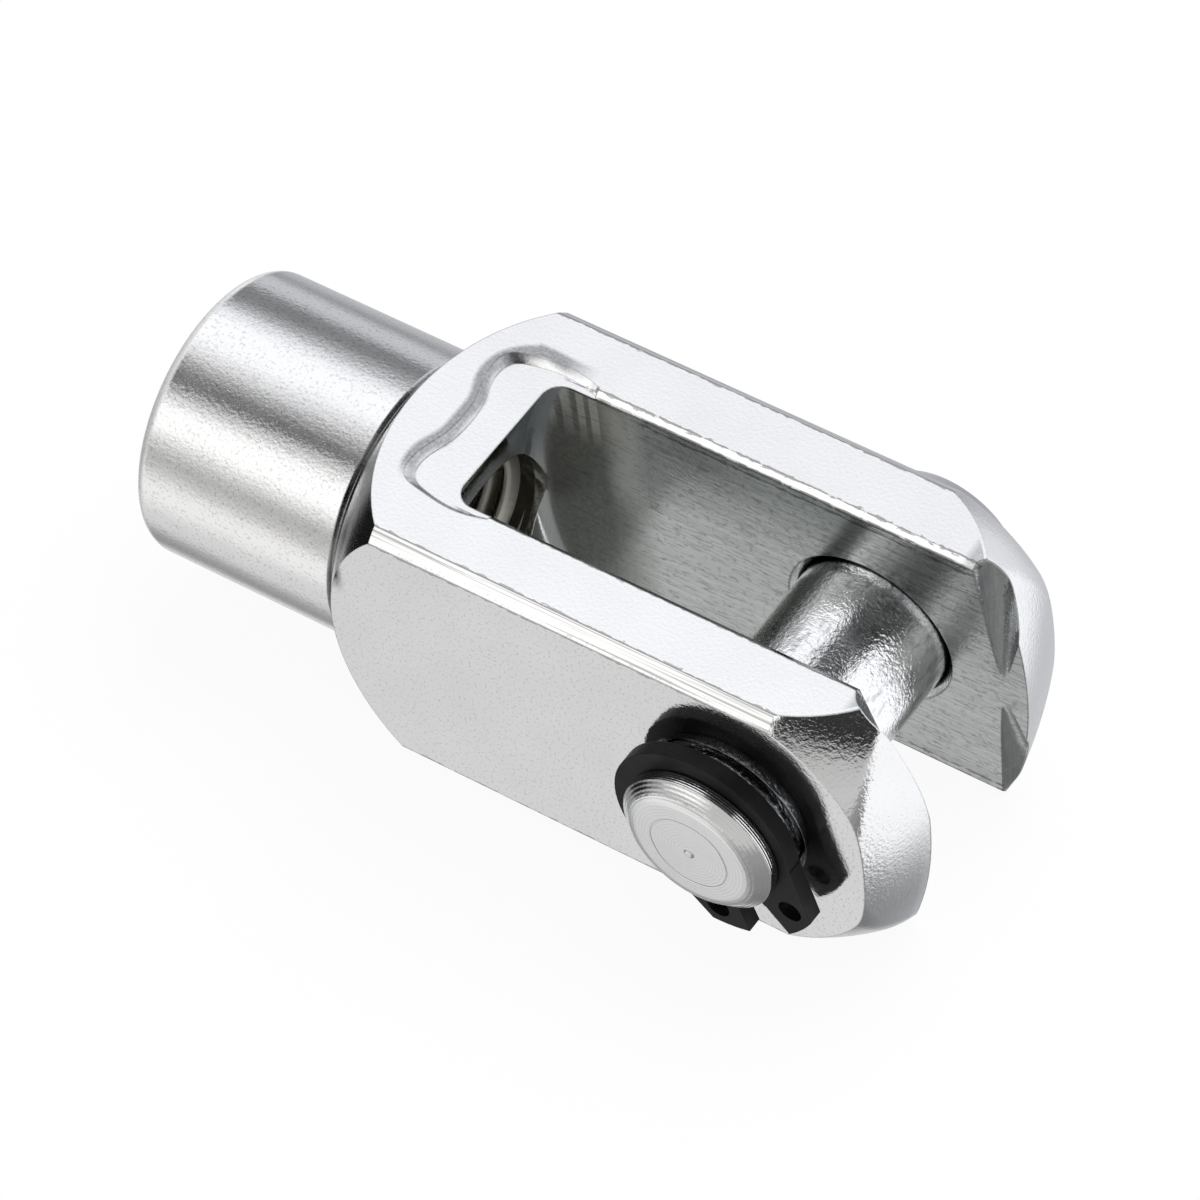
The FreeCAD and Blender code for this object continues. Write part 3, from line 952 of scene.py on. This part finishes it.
# %% What a mirror ray meets
def room_ramp(w, share, levels):
    ramp = w.add("ShaderNodeValToRGB")
    ramp.color_ramp.interpolation = "EASE"
    stops = ramp.color_ramp.elements
    while len(stops) < len(levels):
        stops.new(0.5)
    for stop, (angle, level) in zip(stops, levels):
        stop.position = (angle + 180) / 360
        stop.color = (*grey(level), 1.0)
    w.feed(share, ramp.inputs[0])
    return ramp.outputs[0]


def sum_of(w, *terms):
    """Adds up sockets, each times its own factor."""
    total = 0.0
    for socket, factor in terms:
        total = w.math("MULTIPLY_ADD", socket, factor, total)
    return total


def card_mask(w, x, y, z):
    sideways = sum_of(w, (x, 0.42), (y, 0.9), (w.math("MINIMUM", z, 0.0), 0.37))
    downwards = sum_of(w, (x, 1.0), (z, -0.9))
    card = both(w, above(w, sideways, 0.07, 0.07), above(w, downwards, -0.1, 0.15))
    return both(w, card, both(w, above(w, x, 0.2, 0.15), above(w, z, -0.88, 0.14)))


def mirrored_room(w):
    way = w.add("ShaderNodeSeparateXYZ")
    w.feed(w.add("ShaderNodeTexCoord").outputs["Generated"], way.inputs[0])
    x, y, z = way.outputs
    turn = w.math("ARCTAN2", w.math("MULTIPLY", y, -1.0), z)
    share = w.math("ADD", w.math("DIVIDE", turn, 2 * math.pi), 0.5)
    flag = sum_of(w, (x, -0.98), (y, -0.08), (z, -0.15))
    room = layered(w, room_ramp(w, share, NECK_SIDE_OF_ROOM), [
        (above(w, x, -0.22, 0.25), room_ramp(w, share, TIP_SIDE_OF_ROOM)),
        (card_mask(w, x, y, z), grey(CARD_LIGHT)),
        (below(w, x, -0.7, 0.12), grey(BEHIND_LIGHT)),
        (above(w, flag, 0.88, 0.05), grey(FLAG_LIGHT)),
    ])
    far_side = w.math("MULTIPLY_ADD", y, 0.5, 0.5, clamp=True)
    tinted = w.add("ShaderNodeMix", data_type="RGBA", blend_type="MULTIPLY")
    tinted.inputs[0].default_value = 1.0
    w.feed(room, tinted.inputs[6])
    w.feed(mix_colour(w, far_side, WARM_TINT, COOL_TINT), tinted.inputs[7])
    return tinted.outputs[2]


# %% The world that puts it together
def studio_world():
    world = bpy.data.worlds.new("white_studio")
    world.use_nodes = True
    world.node_tree.nodes.clear()
    w = Wiring(world.node_tree)
    path = w.add("ShaderNodeLightPath")
    lighting = w.add("ShaderNodeBackground")
    light = mix_colour(w, path.outputs["Is Glossy Ray"], grey(EVEN_LIGHT), mirrored_room(w))
    w.feed(light, lighting.inputs["Color"])
    seen = w.add("ShaderNodeBackground")
    seen.inputs["Color"].default_value = (*WHITE, 1.0)
    mixed = w.add("ShaderNodeMixShader")
    w.feed(path.outputs["Is Camera Ray"], mixed.inputs[0])
    w.feed(lighting.outputs[0], mixed.inputs[1])
    w.feed(seen.outputs[0], mixed.inputs[2])
    w.feed(mixed.outputs[0], w.add("ShaderNodeOutputWorld").inputs[0])
    world.cycles.sampling_method = "NONE"
    print(world.name, "has", len(world.node_tree.nodes), "nodes")
    return world


bpy.context.scene.world = studio_world()

# %% [markdown]
# The clevis lies on a plain white bench. For the camera the bench is nearly pure white, as
# in a catalogue picture, but it still takes a faint shadow. Mirror rays pass through it, so
# the metal mirrors the studio alone. One large soft lamp gives the shadow.

# %% The bench and one soft lamp
BENCH_HALF = 3.0
BENCH_SEEN = 0.93
LAMP_PLACE = (0.1, 0.25, 0.6)
LAMP_AIM = (0.03, 0, 0)
LAMP_SIZE = 0.5
LAMP_POWER = 3.2


def white_bench():
    mesh = bpy.data.meshes.new("bench")
    h = BENCH_HALF
    z = BENCH_Z
    mesh.from_pydata([(-h, -h, z), (h, -h, z), (h, h, z), (-h, h, z)], [], [(0, 1, 2, 3)])
    bench = bpy.data.objects.new("bench", mesh)
    bpy.context.scene.collection.objects.link(bench)
    material, w, shader = new_finish("white_bench", (0.86, 0.86, 0.86), 0.9, metallic=0.0)
    shader.inputs["Specular IOR Level"].default_value = 0.0
    path = w.add("ShaderNodeLightPath")
    glow = w.add("ShaderNodeEmission")
    glow.inputs["Color"].default_value = (*WHITE, 1.0)
    glow.inputs["Strength"].default_value = 1.0
    mix = w.add("ShaderNodeMixShader")
    w.feed(w.math("MULTIPLY", path.outputs["Is Camera Ray"], BENCH_SEEN), mix.inputs[0])
    w.feed(shader.outputs[0], mix.inputs[1])
    w.feed(glow.outputs[0], mix.inputs[2])
    out = next(n for n in material.node_tree.nodes if n.type == "OUTPUT_MATERIAL")
    w.feed(mix.outputs[0], out.inputs["Surface"])
    mesh.materials.append(material)
    bench.visible_glossy = False
    return bench


def soft_lamp(name, place, target, size, power):
    lamp = bpy.data.lights.new(name, "AREA")
    lamp.size = size
    lamp.energy = power
    holder = bpy.data.objects.new(name, lamp)
    bpy.context.scene.collection.objects.link(holder)
    holder.location = place
    holder.rotation_euler = (Vector(target) - Vector(place)).to_track_quat("-Z", "Y").to_euler()
    holder.visible_glossy = False
    return holder


bench = white_bench()
lamp = soft_lamp("soft_box_above", LAMP_PLACE, LAMP_AIM, LAMP_SIZE, LAMP_POWER)
print(bench.name, "at height", round(BENCH_Z, 4), "m, lit by", lamp.name)

# %% [markdown]
# The camera is a long lens on a small object, looking down across the pin's ring end. Its
# place, its aim and its slight roll were fitted to straight edges and circles of the photo.

# %% The camera
CAMERA_PLACE = Vector((mm(192.45), mm(-198.33), mm(310.24)))
CAMERA_AIM = Vector((mm(27.475), mm(-0.934), 0.0))
CAMERA_ROLL = math.radians(-7.506)
SENSOR_WIDTH = 36.0
FOCAL_LENGTH = 211.0


def fitted_camera():
    camera = bpy.data.cameras.new("camera")
    camera.sensor_width = SENSOR_WIDTH
    camera.lens = FOCAL_LENGTH
    camera.clip_start = mm(10)
    holder = bpy.data.objects.new("camera", camera)
    bpy.context.scene.collection.objects.link(holder)
    level = (CAMERA_AIM - CAMERA_PLACE).to_track_quat("-Z", "Y").to_matrix().to_4x4()
    holder.matrix_world = Matrix.Translation(CAMERA_PLACE) @ level @ Matrix.Rotation(CAMERA_ROLL, 4, "Z")
    return holder


bpy.context.scene.camera = fitted_camera()
print("camera looks from", tuple(round(v, 3) for v in CAMERA_PLACE), "m")
bpy.context.scene.view_settings.view_transform = "Standard"
